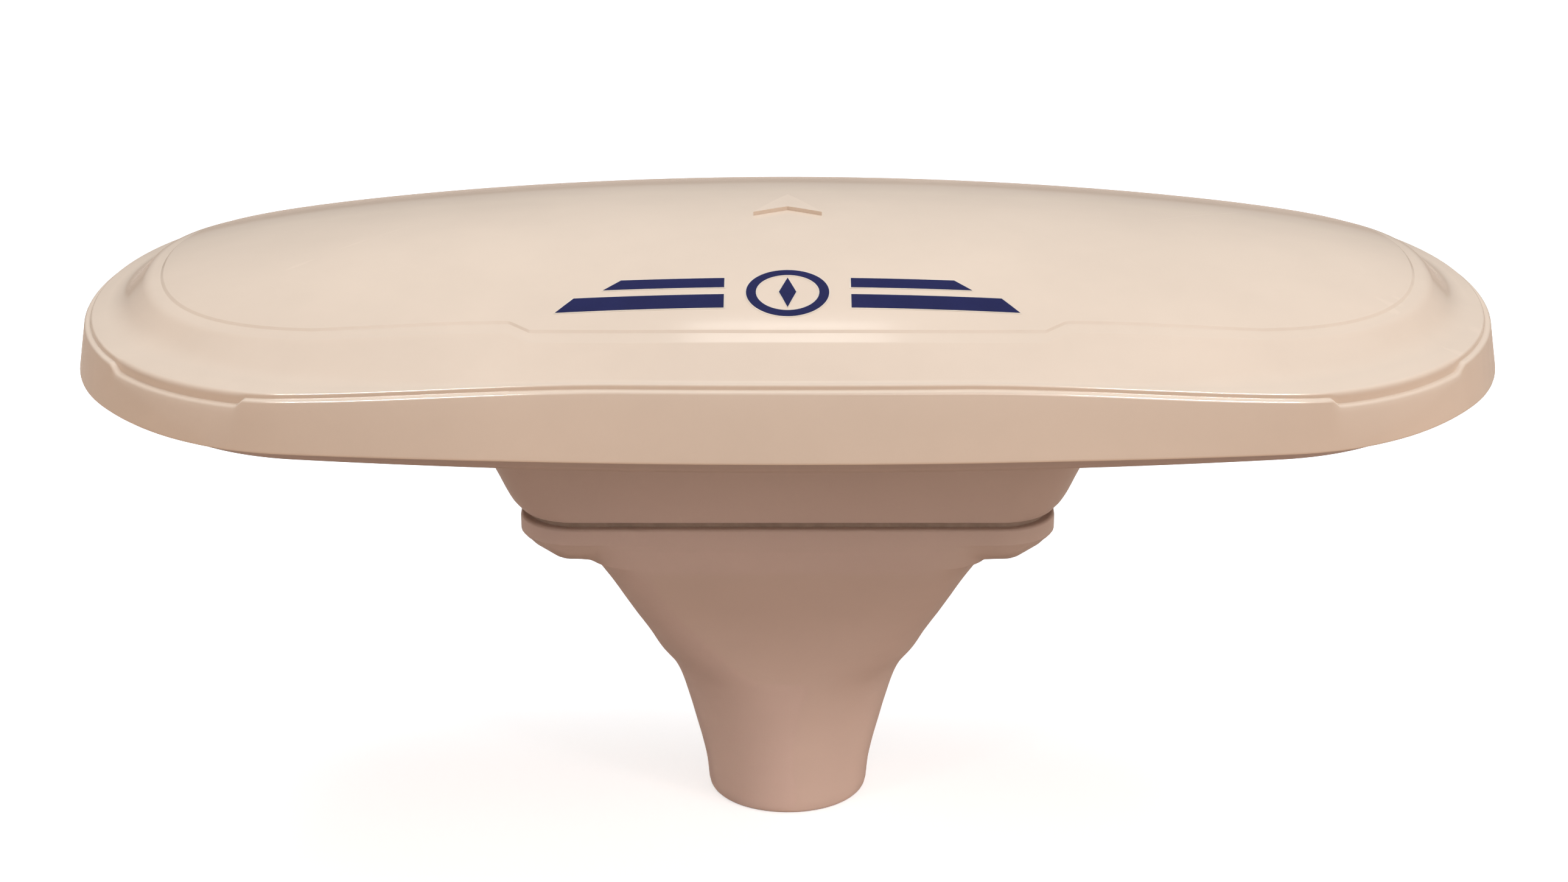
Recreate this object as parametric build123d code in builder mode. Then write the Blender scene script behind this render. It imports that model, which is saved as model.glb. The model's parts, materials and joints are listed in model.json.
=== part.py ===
from build123d import *
import os

# Twin-antenna satellite compass for a boat: a long low dome on a neck and a pole mount.
# Frame: millimetres, +Z up, X along the dome, forward is +Y, origin at the centre of
# the pole mount's bottom rim, on the axis of its pole thread.

# ---------------------------------------------------------------- driving dimensions
skirt_z = 90.4              # bottom edge of the dome's skirt
skirt_size = (129.5, 65.5, 60.0)     # half length, half width, half width at the shoulder
skirt_top_size = (127.9, 60.3, 57.3)
skirt_loft_height = 12.5
shoulder_x = 85.0           # where the shallow side arcs meet the rounded ends
shell = 2.5                 # wall of both plastic shells
crown_z = skirt_z + 25.3    # highest point of the dome
crown_long_radius = 790.0
crown_cross_radius = 145.0
panel_step = 1.05           # the raised top panel above the slope around it
ledge_z = skirt_z + 11.0    # arched top edge of the skirt at mid length
ledge_long_radius = 2880.0
flank_z = skirt_z + 15.7    # low barrel surface just inside the skirt's edge
flank_long_radius = 1320.0
flank_cross_radius = 442.0
arrow_y = 0.0               # heading arrow moulded on the crown, pointing forward
arrow_height = 0.4
cap_inset = 1.2             # width of the narrow ledge between skirt and cap
notch_from = 92.5           # the skirt's edge steps down between these two stations
notch_to = 116.0
notch_depth = 1.2
reach = 150.0               # half length of the construction barrels

rim_z = skirt_z + 4.0       # joint plane between dome cover and lower housing
pan_z = skirt_z - 5.3       # lower edge of the housing's side wall
neck_z = skirt_z - 20.5     # bottom face of the neck
mount_z = neck_z - 1.0      # top face of the pole mount, one gasket lower
rim_size = (120.0, 58.0, 52.0)
pan_size = (118.0, 56.8, 50.5)
rim_width = 4.5
floor_z = pan_z + shell     # inside floor of the housing
neck_floor_z = neck_z + shell

tube_radius = 15.0          # outside of the pole socket
pole_radius = 12.7          # one inch pole thread
pole_depth = 23.0
cable_radius = 10.5         # hole above the thread shoulder
shoulder_top = 26.0
socket_top = 24.0           # the round socket blends into the flared funnel here
socket_top_radius = 20.0
gusset_thick = 16.0

cover_screw_spots = [(-111.5, 0.0), (111.5, 0.0)]
cover_screw_spots += [(x, y) for x in (-76.0, 76.0) for y in (-46.2, 46.2)]
mount_screw_spots = [(x * 41.0, y * 28.0) for x in (-1, 1) for y in (-1, 1)]
antenna_x = 67.5            # each antenna's distance from the middle

board_z = skirt_z + 0.6
board_thick = 1.6
board_top = board_z + board_thick
board_spots = [(x, y) for x in (-88.0, -50.0, 50.0, 88.0) for y in (-27.0, 27.0)]

os.makedirs("parts", exist_ok=True)


# ---------------------------------------------------------------- shared shapes
def oval(size, inset=0.0, mode=Mode.ADD):
    """Long oval face: shallow arcs along both sides, rounded ends."""
    length, width, shoulder = (value - inset for value in size)
    rise = width - shoulder
    radius = (rise ** 2 + shoulder_x ** 2) / (2 * rise)
    slope = shoulder_x / (radius - rise)
    lead = 0.585 * (length - shoulder_x)
    with BuildLine() as outline:
        ThreePointArc((-shoulder_x, shoulder), (0, width), (shoulder_x, shoulder))
        for side in (-1, 1):
            Bezier(
                (side * shoulder_x, shoulder),
                (side * (shoulder_x + lead), shoulder - slope * lead),
                (side * length, 0.55 * shoulder),
                (side * length, 0),
            )
        mirror(about=Plane.XZ)
    make_face(outline.edges(), mode=mode)


def top_panel():
    """Raised panel on the dome: rounded ends and a slightly wider tab front and back."""
    tab_middle, tab_corner, tab_root = (0, 47.2), (44.4, 45.2), (47.8, 42.4)
    shoulder, tip = (81.8, 39.8), (114.0, 0)
    with BuildLine() as outline:
        Bezier(tab_middle, (15.0, 47.1), (30.0, 46.6), tab_corner)
        Line(tab_corner, tab_root)
        Bezier(tab_root, (56.0, 41.5), (70.0, 41.2), shoulder)
        Bezier(shoulder, (96.8, 36.5), (114.0, 29.0), tip)
        mirror(about=Plane.XZ)
        mirror(about=Plane.YZ)
    make_face(outline.edges())


def barrel(crown, long_radius, cross_radius):
    """Keep only what lies under a barrel surface that peaks at height crown."""
    drop = long_radius - (long_radius ** 2 - reach ** 2) ** 0.5
    axis_z = crown - cross_radius
    with BuildSketch(Plane.XZ) as half:
        with BuildLine():
            ThreePointArc((-reach, crown - drop), (0, crown), (reach, crown - drop))
            Polyline((reach, crown - drop), (reach, axis_z), (-reach, axis_z), (-reach, crown - drop))
        make_face()
    revolve(half.sketch, axis=Axis((0, 0, axis_z), (1, 0, 0)), mode=Mode.INTERSECT)


def side_loft(inset, low, high):
    """Drafted side wall of the dome between two heights above the skirt's bottom."""
    sections = []
    for height in (low, high):
        share = height / skirt_loft_height
        size = [a + (b - a) * share for a, b in zip(skirt_size, skirt_top_size)]
        with BuildSketch(Plane.XY.offset(skirt_z + height)) as section:
            oval(size, inset)
        sections.append(section.sketch.face())
    loft(sections)


def slab(plane_z, height, half_x, half_y, corner, mode=Mode.ADD):
    """Rounded rectangular block standing on a plane."""
    with BuildSketch(Plane.XY.offset(plane_z)) as section:
        RectangleRounded(2 * half_x, 2 * half_y, corner)
    extrude(section.sketch, amount=height, mode=mode)


def block(centre, plane_z, size, corner, label):
    """Small rounded component standing on a plane, as its own part."""
    with BuildPart() as piece:
        with BuildSketch(Plane.XY.offset(plane_z)):
            with Locations(centre):
                RectangleRounded(size[0], size[1], corner)
        extrude(amount=size[2])
        top = piece.faces().sort_by(Axis.Z)[-1]
        chamfer(top.edges(), length=min(size) * 0.08)
    save(piece, label)


def pins(spots, plane_z, height, radius, mode=Mode.ADD):
    """Round pins or holes standing on a plane."""
    with BuildSketch(Plane.XY.offset(plane_z)) as section:
        with Locations(*spots):
            Circle(radius)
    extrude(section.sketch, amount=height, mode=mode)


def stack(sections):
    """Smooth skin through rounded rectangles given as (height, half x, half y, corner)."""
    faces = []
    for height, half_x, half_y, corner in sections:
        with BuildSketch(Plane.XY.offset(skirt_z + height)) as section:
            RectangleRounded(2 * half_x, 2 * half_y, corner)
        faces.append(section.sketch.face())
    loft(faces)


def save(builder, label):
    """Label a finished piece and write it to its own file."""
    builder.part.label = label
    export_step(builder.part, f"parts/{label}.step")


# ---------------------------------------------------------------- dome cover
with BuildPart() as low_band:
    side_loft(0.0, 0.0, skirt_loft_height)
    barrel(ledge_z - notch_depth, ledge_long_radius, 4000.0)

with BuildPart() as high_band:
    side_loft(0.0, 0.0, skirt_loft_height)
    barrel(ledge_z, ledge_long_radius, 4000.0)
    notch_length = notch_to - notch_from
    with BuildSketch(Plane.XY.offset(skirt_z)):
        with Locations((-notch_from - notch_length / 2, 0), (notch_from + notch_length / 2, 0)):
            Rectangle(notch_length, 4 * skirt_size[1])
    extrude(amount=4 * skirt_loft_height, mode=Mode.SUBTRACT)

with BuildPart() as cap:
    side_loft(cap_inset, 0.0, skirt_loft_height * 1.3)
    barrel(flank_z, flank_long_radius, flank_cross_radius)

with BuildPart() as slope:
    with BuildSketch(Plane.XY.offset(skirt_z + 8.5)):
        oval((125.4, 59.0, 55.0))
    with BuildSketch(Plane.XY.offset(skirt_z + 17.0)):
        oval((113.5, 47.0, 44.0))
    loft()
    barrel(crown_z - panel_step, crown_long_radius, crown_cross_radius)

with BuildPart() as panel:
    with BuildSketch(Plane.XY.offset(skirt_z + 8.0)):
        top_panel()
    extrude(amount=30)
    barrel(crown_z, crown_long_radius, crown_cross_radius)

with BuildPart() as low_cavity:
    side_loft(shell, -1.0, skirt_loft_height)
    barrel(flank_z - shell, flank_long_radius, flank_cross_radius)

with BuildPart() as high_cavity:
    with BuildSketch(Plane.XY.offset(skirt_z + 5.0)):
        oval((119.4, 55.0, 51.0))
    with BuildSketch(Plane.XY.offset(skirt_z + 16.0)):
        oval((108.0, 42.0, 39.0))
    loft()
    barrel(crown_z - panel_step - shell, crown_long_radius, crown_cross_radius)

with BuildPart() as joint_ring:
    with BuildSketch(Plane.XY.offset(rim_z)):
        oval(rim_size)
        oval(rim_size, rim_width, mode=Mode.SUBTRACT)
        with Locations(*cover_screw_spots):
            Circle(4.5)
    extrude(amount=20)
    barrel(flank_z - shell + 1, flank_long_radius, flank_cross_radius)

with BuildPart() as heading_arrow:
    with BuildSketch(Plane.XY.offset(crown_z - 4.0)):
        with Locations((0, arrow_y)):
            Polygon((-6.2, -5.0), (0, -1.8), (6.2, -5.0), (0, 6.5), align=None)
    extrude(amount=6.0)
    barrel(crown_z + arrow_height, crown_long_radius, crown_cross_radius)

with BuildPart() as dome_cover:
    for solid in (low_band, high_band, cap, slope, panel):
        add(solid.part)
    for solid in (low_cavity, high_cavity):
        add(solid.part, mode=Mode.SUBTRACT)
    add(joint_ring.part)
    add(heading_arrow.part)
    pins(cover_screw_spots, rim_z - 1, 5.8, 1.5, mode=Mode.SUBTRACT)
save(dome_cover, "dome_cover")

# ---------------------------------------------------------------- lower housing
with BuildPart() as lower_housing:
    with BuildSketch(Plane.XY.offset(pan_z)):
        oval(pan_size)
    with BuildSketch(Plane.XY.offset(rim_z)):
        oval(rim_size)
    loft()
    rim_edge = lower_housing.faces().sort_by(Axis.Z)[0].edges()
    fillet(rim_edge, radius=1.2)
    stack([(-4.4, 55.6, 47.0, 12), (-20.5, 47.2, 41.0, 10)])
    # inside of the pan and of the neck
    with BuildSketch(Plane.XY.offset(floor_z)):
        oval(rim_size, rim_width)
        with Locations(*cover_screw_spots):
            Circle(4.5, mode=Mode.SUBTRACT)
    extrude(amount=20, mode=Mode.SUBTRACT)
    slab(neck_floor_z, 20, 43.0, 37.5, 8, mode=Mode.SUBTRACT)
    # bosses for the board and for the brass inserts
    pins(board_spots, floor_z - 1, board_z - floor_z + 1, 3.2)
    pins(mount_screw_spots, neck_z, 10.0, 5.0)
    pins(board_spots, board_z - 5, 20, 1.1, mode=Mode.SUBTRACT)
    pins(mount_screw_spots, neck_z, 8.0, 3.0, mode=Mode.SUBTRACT)
    # seal groove in the rim
    with BuildSketch(Plane.XY.offset(rim_z - 1.2)):
        oval(rim_size, 1.3)
        oval(rim_size, 3.3, mode=Mode.SUBTRACT)
    extrude(amount=5, mode=Mode.SUBTRACT)
    # cover screw holes with head recesses, connector hole and vent seat
    pins(cover_screw_spots, pan_z - 1, 20, 1.7, mode=Mode.SUBTRACT)
    pins(cover_screw_spots, neck_z, pan_z + 3.0 - neck_z, 3.2, mode=Mode.SUBTRACT)
    pins([(0, 0)], neck_z - 1, 10, 8.1, mode=Mode.SUBTRACT)
    pins([(85, 0)], pan_z - 1, 10, 4.1, mode=Mode.SUBTRACT)
save(lower_housing, "lower_housing")

with BuildPart() as housing_seal:
    with BuildSketch(Plane.XY.offset(rim_z - 1.2)):
        oval(rim_size, 1.35)
        oval(rim_size, 3.25, mode=Mode.SUBTRACT)
    extrude(amount=1.2)
save(housing_seal, "housing_seal")

with BuildPart() as cover_screws:
    pins(cover_screw_spots, pan_z + 3.0 - 2.4, 2.4, 2.9)
    pins(cover_screw_spots, pan_z + 3.0, 9.6, 1.45)
    pins(cover_screw_spots, pan_z, 1.8, 0.9, mode=Mode.SUBTRACT)
save(cover_screws, "cover_screws")

with BuildPart() as vent_plug:
    pins([(85, 0)], pan_z - 1.4, 1.4, 6.0)
    pins([(85, 0)], pan_z, 5.0, 4.0)
    fillet(vent_plug.faces().sort_by(Axis.Z)[0].edges(), radius=0.6)
    with BuildSketch(Plane.XY.offset(pan_z - 1.4)):
        with PolarLocations(0, 1):
            with Locations((85, 0)):
                with PolarLocations(3.4, 4):
                    Circle(0.6)
    extrude(amount=1.0, mode=Mode.SUBTRACT)
save(vent_plug, "vent_plug")

# ---------------------------------------------------------------- pole mount
with BuildPart() as mount_gasket:
    slab(mount_z, 1.0, 46.2, 40.2, 9)
    slab(mount_z, 1.0, 34.0, 36.0, 8, mode=Mode.SUBTRACT)
    pins(mount_screw_spots, mount_z, 1.0, 2.2, mode=Mode.SUBTRACT)
save(mount_gasket, "mount_gasket")

with BuildPart() as throat:
    stack([
        (-25.5, 34.0, 36.0, 8), (-32.0, 29.8, 34.0, 9), (-44.0, 25.2, 28.4, 10),
        (-52.0, 22.2, 23.8, 12), (shoulder_top - skirt_z, 15.8, 15.8, 14),
    ])

with BuildPart() as pole_socket:
    with BuildSketch(Plane.XZ) as half_socket:
        with BuildLine():
            Line((0, 0), (tube_radius, 0))
            Spline(
                (tube_radius, 0), (tube_radius + 0.45, 5.0), (tube_radius + 1.5, 10.4),
                (tube_radius + 2.8, 15.4), (socket_top_radius, socket_top),
            )
            Line((socket_top_radius, socket_top), (0, socket_top))
            Line((0, socket_top), (0, 0))
        make_face()
    revolve(axis=Axis.Z)

with BuildPart() as pole_mount:
    slab(mount_z - 3.0, 3.0, 47.6, 41.6, 10)
    stack([(-24.5, 47.6, 41.6, 10), (-26.6, 45.8, 41.2, 10), (-28.6, 41.8, 40.8, 9), (-29.6, 37.5, 40.3, 9)])
    stack([
        (-24.5, 38.0, 41.4, 10), (-30.0, 35.0, 40.2, 10), (-36.0, 31.8, 37.0, 11),
        (-44.0, 28.4, 32.0, 13), (-52.0, 25.4, 27.4, 15), (-60.0, 22.2, 23.2, 18),
        (socket_top - skirt_z, socket_top_radius - 0.1, socket_top_radius - 0.1, socket_top_radius - 0.4),
    ])
    # a straight gusset each side, from the tray down to the socket
    with BuildSketch(Plane.XZ) as gusset:
        with BuildLine():
            Polyline(
                (0, skirt_z - 26.0), (40.2, skirt_z - 26.0), (40.0, skirt_z - 29.8),
                (33.2, skirt_z - 45.0), (24.2, skirt_z - 58.0), (0, skirt_z - 58.0), close=True,
            )
        make_face()
        mirror(about=Plane.YZ)
    extrude(gusset.sketch, amount=gusset_thick / 2, both=True)
    add(pole_socket.part)
    slab(mount_z - 4.0, 4.0, 34.0, 36.0, 8, mode=Mode.SUBTRACT)
    add(throat.part, mode=Mode.SUBTRACT)
    pins([(0, 0)], -1, shoulder_top + 2, cable_radius, mode=Mode.SUBTRACT)
    pins([(0, 0)], -1, pole_depth + 1, pole_radius, mode=Mode.SUBTRACT)
    pins(mount_screw_spots, mount_z - 12, 12, 2.2, mode=Mode.SUBTRACT)
    pins(mount_screw_spots, mount_z - 12, 8.0, 4.0, mode=Mode.SUBTRACT)
save(pole_mount, "pole_mount")

with BuildPart() as mount_screws:
    pins(mount_screw_spots, mount_z - 4.0 - 3.2, 3.2, 3.5)
    pins(mount_screw_spots, mount_z - 4.0, 11.6, 1.95)
    with BuildSketch(Plane.XY.offset(mount_z - 4.0 - 3.2)):
        with Locations(*mount_screw_spots):
            RegularPolygon(1.7, 6)
    extrude(amount=2.0, mode=Mode.SUBTRACT)
save(mount_screws, "mount_screws")

with BuildPart() as mount_inserts:
    pins(mount_screw_spots, neck_z, 7.5, 2.95)
    pins(mount_screw_spots, neck_z, 7.5, 2.0, mode=Mode.SUBTRACT)
save(mount_inserts, "mount_inserts")

# ---------------------------------------------------------------- data connector in the neck
pin_ring = PolarLocations(4.6, 11)
pin_spots = [(0, 0)] + [(spot.position.X, spot.position.Y) for spot in pin_ring.local_locations]

with BuildPart() as data_connector:
    pins([(0, 0)], neck_z - 2.5, 2.5, 11.5)
    pins([(0, 0)], neck_z - 14.0, 12.0, 9.0)
    pins([(0, 0)], neck_z - 0.1, 7.6, 8.0)
    pins([(0, 0)], neck_z - 14.0, 12.0, 7.3, mode=Mode.SUBTRACT)
    pins([(0, 0)], neck_z - 14.0, 30.0, 6.5, mode=Mode.SUBTRACT)
    with BuildSketch(Plane.XY.offset(neck_z - 1.2)):
        Circle(10.3)
        Circle(8.7, mode=Mode.SUBTRACT)
    extrude(amount=1.2, mode=Mode.SUBTRACT)
save(data_connector, "data_connector")

with BuildPart() as connector_oring:
    with BuildSketch(Plane.XZ):
        with Locations((9.5, neck_z - 0.6)):
            Ellipse(0.78, 0.6)
    revolve(axis=Axis.Z)
save(connector_oring, "connector_oring")

with BuildPart() as connector_nut:
    with BuildSketch(Plane.XY.offset(neck_floor_z)):
        RegularPolygon(11.5, 6)
        Circle(8.05, mode=Mode.SUBTRACT)
    extrude(amount=3.0)
save(connector_nut, "connector_nut")

with BuildPart() as connector_insert:
    pins([(0, 0)], neck_z - 8.5, 6.5, 7.25)
    pins([(0, 0)], neck_z - 2.1, 8.6, 6.45)
    pins(pin_spots, neck_z - 10, 30, 0.55, mode=Mode.SUBTRACT)
save(connector_insert, "connector_insert")

with BuildPart() as connector_pins:
    pins(pin_spots, neck_z - 13.0, 21.0, 0.5)
save(connector_pins, "connector_pins")

# ---------------------------------------------------------------- electronics
with BuildPart() as main_board:
    slab(board_z, board_thick, 95.0, 33.0, 4)
    pins(board_spots, board_z, board_thick, 1.4, mode=Mode.SUBTRACT)
    pins([(-antenna_x, 0), (antenna_x, 0)], board_z, board_thick, 1.0, mode=Mode.SUBTRACT)
save(main_board, "main_board")

with BuildPart() as board_screws:
    pins(board_spots, board_top, 1.5, 2.3)
    pins(board_spots, board_top - 5.5, 5.5, 1.05)
save(board_screws, "board_screws")

plane_z = board_top + 3.4
plane_thick = 1.0
ceramic_thick = 5.0
electrode_thick = 0.2
for side, x in (("left", -antenna_x), ("right", antenna_x)):
    posts = [(x + a * 23.0, b * 23.0) for a in (-1, 1) for b in (-1, 1)]

    with BuildPart() as spacers:
        pins(posts, board_top, 3.4, 2.0)
    save(spacers, side + "_plane_posts")

    with BuildPart() as ground_plane:
        with BuildSketch(Plane.XY.offset(plane_z)):
            with Locations((x, 0)):
                RectangleRounded(54, 54, 5)
                Circle(1.0, mode=Mode.SUBTRACT)
        extrude(amount=plane_thick)
    save(ground_plane, side + "_ground_plane")

    with BuildPart() as ceramic:
        with BuildSketch(Plane.XY.offset(plane_z + plane_thick)):
            with Locations((x, 0)):
                RectangleRounded(36, 36, 1)
                Circle(0.7, mode=Mode.SUBTRACT)
        extrude(amount=ceramic_thick)
    save(ceramic, side + "_patch_ceramic")

    with BuildPart() as electrode:
        with BuildSketch(Plane.XY.offset(plane_z + plane_thick + ceramic_thick)):
            with Locations((x, 0)):
                RectangleRounded(31, 31, 0.6)
                Circle(0.7, mode=Mode.SUBTRACT)
        extrude(amount=electrode_thick)
    save(electrode, side + "_patch_electrode")

    feed_length = plane_z + plane_thick + ceramic_thick + electrode_thick - board_z
    with BuildPart() as feed_pin:
        pins([(x, 0)], board_z, feed_length, 0.6)
        pins([(x, 0)], board_z + feed_length, 0.5, 1.4)
    save(feed_pin, side + "_feed_pin")

    with BuildPart() as lna_shield:
        with BuildSketch(Plane.XY.offset(board_top)):
            with Locations((x + 8, 0)):
                RectangleRounded(12, 24, 1)
        extrude(amount=2.6)
    save(lna_shield, side + "_amplifier_shield")

block((0, 0), board_top, (34, 30, 4.0), 1.5, "receiver_shield")
block((0, -24), board_top, (14, 10, 1.4), 0.4, "processor_chip")
block((-20, -24), board_top, (7, 7, 2.0), 0.3, "gyro_sensor")
block((20, -24), board_top, (5, 5, 1.2), 0.3, "tilt_sensor")
block((26, 4), board_top, (10, 10, 4.5), 1.0, "power_inductor")

with BuildPart() as capacitors:
    pins([(-26, -8), (-26, 2), (-26, 12)], board_top, 6.0, 3.2)
save(capacitors, "capacitors")

# ---------------------------------------------------------------- wiring to the connector
header_bottom = board_z - 5.0
with BuildPart() as board_header:
    with BuildSketch(Plane.XY.offset(header_bottom)):
        with Locations((0, 18)):
            Rectangle(22, 7)
            Rectangle(19, 4.4, mode=Mode.SUBTRACT)
    extrude(amount=5.0)
save(board_header, "board_header")

with BuildPart() as header_plug:
    with BuildSketch(Plane.XY.offset(header_bottom - 1.0)):
        with Locations((0, 18)):
            Rectangle(18.6, 4.0)
    extrude(amount=5.0)
save(header_plug, "header_plug")

harness_top = header_bottom - 1.0
harness_level = skirt_z - 9.2
with BuildPart() as harness:
    with BuildLine() as route:
        FilletPolyline(
            (0, 18, harness_top), (0, 18, harness_level), (0, 0, harness_level), (0, 0, neck_z + 8.1),
            radius=2.6,
        )
    with BuildSketch(Plane.XY.offset(harness_top)):
        with Locations((0, 18)):
            Circle(1.8)
    sweep()
save(harness, "harness")
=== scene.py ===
import json
import math

import bmesh
import bpy
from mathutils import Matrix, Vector


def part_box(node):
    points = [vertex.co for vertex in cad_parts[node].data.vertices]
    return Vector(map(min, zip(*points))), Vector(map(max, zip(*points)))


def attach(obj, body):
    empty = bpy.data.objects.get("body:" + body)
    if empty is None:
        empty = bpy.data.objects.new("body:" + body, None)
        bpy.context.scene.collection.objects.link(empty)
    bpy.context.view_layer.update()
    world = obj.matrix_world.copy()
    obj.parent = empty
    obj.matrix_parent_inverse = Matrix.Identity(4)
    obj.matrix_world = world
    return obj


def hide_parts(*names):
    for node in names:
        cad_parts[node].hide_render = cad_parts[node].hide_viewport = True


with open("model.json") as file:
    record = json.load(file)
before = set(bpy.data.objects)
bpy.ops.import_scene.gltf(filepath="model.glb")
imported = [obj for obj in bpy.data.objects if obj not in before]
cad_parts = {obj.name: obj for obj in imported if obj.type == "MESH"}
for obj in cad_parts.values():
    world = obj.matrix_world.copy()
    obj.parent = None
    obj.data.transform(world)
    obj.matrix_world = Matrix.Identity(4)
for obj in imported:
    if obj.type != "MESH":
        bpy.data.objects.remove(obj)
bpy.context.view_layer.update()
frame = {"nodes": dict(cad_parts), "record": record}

# Shapes are worked out in millimetres, in the frame's axes, and scaled to metres in mesh_piece.
MM = 0.001


def node_box(node):
    """Lowest and highest corner of a CAD node, in millimetres."""
    low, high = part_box(node)
    return low / MM, high / MM


SKIRT_Z = node_box("dome_cover")[0].z
HALF_LENGTH = node_box("dome_cover")[1].x
HALF_WIDTH = node_box("dome_cover")[1].y
RIM_HALF_LENGTH = node_box("lower_housing")[1].x
NECK_Z = node_box("lower_housing")[0].z
MOUNT_TOP = node_box("pole_mount")[1].z


# ---------------------------------------------------------------- small maths
def mix(a, b, t):
    return a + (b - a) * t


def smoothstep(low, high, value):
    t = min(max((value - low) / (high - low), 0.0), 1.0)
    return t * t * (3 - 2 * t)


def smooth_curve(knots, value):
    """Monotone cubic through (position, value) knots given in rising order of position."""
    if value <= knots[0][0]:
        return knots[0][1]
    if value >= knots[-1][0]:
        return knots[-1][1]
    slopes = [(b[1] - a[1]) / (b[0] - a[0]) for a, b in zip(knots, knots[1:])]
    bends = [slopes[0]]
    for before, after in zip(slopes, slopes[1:]):
        bends.append(0.0 if before * after <= 0 else 2 * before * after / (before + after))
    bends.append(slopes[-1])
    for k in range(len(slopes)):
        (x0, y0), (x1, y1) = knots[k], knots[k + 1]
        if value <= x1:
            width = x1 - x0
            t = (value - x0) / width
            return (
                y0 * (1 + 2 * t) * (1 - t) ** 2
                + y1 * (3 - 2 * t) * t * t
                + bends[k] * width * t * (1 - t) ** 2
                - bends[k + 1] * width * t * t * (1 - t)
            )


def bezier(points, t):
    """Point on a Bezier curve of any degree."""
    while len(points) > 1:
        points = [
            tuple(mix(a, b, t) for a, b in zip(p, q)) for p, q in zip(points, points[1:])
        ]
    return points[0]


def rounded(corners, steps=5):
    """Polyline through (x, y, radius) corners, each corner with a radius drawn as an arc."""
    line = [Vector(corners[0][:2])]
    for before, corner, after in zip(corners, corners[1:], corners[2:]):
        spot = Vector(corner[:2])
        back = Vector(before[:2]) - spot
        ahead = Vector(after[:2]) - spot
        if corner[2] <= 0:
            line.append(spot)
            continue
        turn = back.angle(ahead)
        reach = min(
            corner[2] / max(math.tan(turn / 2), 1e-4), 0.48 * back.length, 0.48 * ahead.length
        )
        start = spot + back.normalized() * reach
        end = spot + ahead.normalized() * reach
        for k in range(steps + 1):
            t = k / steps
            line.append(start.lerp(spot, t).lerp(spot.lerp(end, t), t))
    line.append(Vector(corners[-1][:2]))
    return line


# ---------------------------------------------------------------- mesh building
def mesh_piece(name, points, faces, material, smooth_angle):
    """Mesh from millimetre points, riding on the part's one body."""
    mesh = bpy.data.meshes.new(name)
    mesh.from_pydata([Vector(p) * MM for p in points], [], faces)
    work = bmesh.new()
    work.from_mesh(mesh)
    bmesh.ops.remove_doubles(work, verts=work.verts, dist=1e-7)
    bmesh.ops.dissolve_degenerate(work, edges=work.edges, dist=1e-7)
    bmesh.ops.recalc_face_normals(work, faces=work.faces)
    for edge in work.edges:
        edge.smooth = edge.calc_face_angle(0.0) < math.radians(smooth_angle)
    for face in work.faces:
        face.smooth = True
    work.to_mesh(mesh)
    work.free()
    mesh.materials.append(material)
    piece = bpy.data.objects.new(name, mesh)
    bpy.context.scene.collection.objects.link(piece)
    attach(piece, "root")
    return piece


def skin(rings):
    """Quads between neighbouring rings of equal point count."""
    count = len(rings[0])
    points = [p for ring in rings for p in ring]
    faces = []
    for r in range(len(rings) - 1):
        for k in range(count):
            nxt = (k + 1) % count
            a, b = r * count, (r + 1) * count
            faces.append((a + k, a + nxt, b + nxt, b + k))
    return points, faces


# ---------------------------------------------------------------- materials
def node_tree(name):
    material = bpy.data.materials.new(name)
    material.use_nodes = True
    tree = material.node_tree
    shader = tree.nodes["Principled BSDF"]
    return material, tree, shader


def noise(tree, scale, detail=4.0, stretch=(1, 1, 1)):
    """Noise in metres of the row frame, so its grain is the same on every piece."""
    place = tree.nodes.new("ShaderNodeTexCoord")
    mapping = tree.nodes.new("ShaderNodeMapping")
    mapping.inputs["Scale"].default_value = stretch
    texture = tree.nodes.new("ShaderNodeTexNoise")
    texture.inputs["Scale"].default_value = scale
    texture.inputs["Detail"].default_value = detail
    texture.inputs["Roughness"].default_value = 0.55
    tree.links.new(place.outputs["Object"], mapping.inputs["Vector"])
    tree.links.new(mapping.outputs["Vector"], texture.inputs["Vector"])
    return texture.outputs["Fac"]


def spread(tree, factor, low, high, start=0.3, stop=0.7):
    """Maps the middle of a noise to a range of numbers."""
    ramp = tree.nodes.new("ShaderNodeMapRange")
    ramp.inputs["From Min"].default_value = start
    ramp.inputs["From Max"].default_value = stop
    ramp.inputs["To Min"].default_value = low
    ramp.inputs["To Max"].default_value = high
    tree.links.new(factor, ramp.inputs["Value"])
    return ramp.outputs["Result"]


def blend_color(tree, factor, first, second):
    blend = tree.nodes.new("ShaderNodeMix")
    blend.data_type = "RGBA"
    tree.links.new(factor, blend.inputs["Factor"])
    for socket, value in (("A", first), ("B", second)):
        target = [s for s in blend.inputs if s.name == socket and s.type == "RGBA"][0]
        if isinstance(value, tuple):
            target.default_value = (*value, 1.0)
        else:
            tree.links.new(value, target)
    return [s for s in blend.outputs if s.type == "RGBA"][0]


def bump(tree, shader, factor, height, strength):
    """Adds a bump of the given height in metres, on top of any the shader already has."""
    node = tree.nodes.new("ShaderNodeBump")
    node.inputs["Distance"].default_value = height
    node.inputs["Strength"].default_value = strength
    tree.links.new(factor, node.inputs["Height"])
    if shader.inputs["Normal"].is_linked:
        tree.links.new(shader.inputs["Normal"].links[0].from_socket, node.inputs["Normal"])
    tree.links.new(node.outputs["Normal"], shader.inputs["Normal"])


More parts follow.
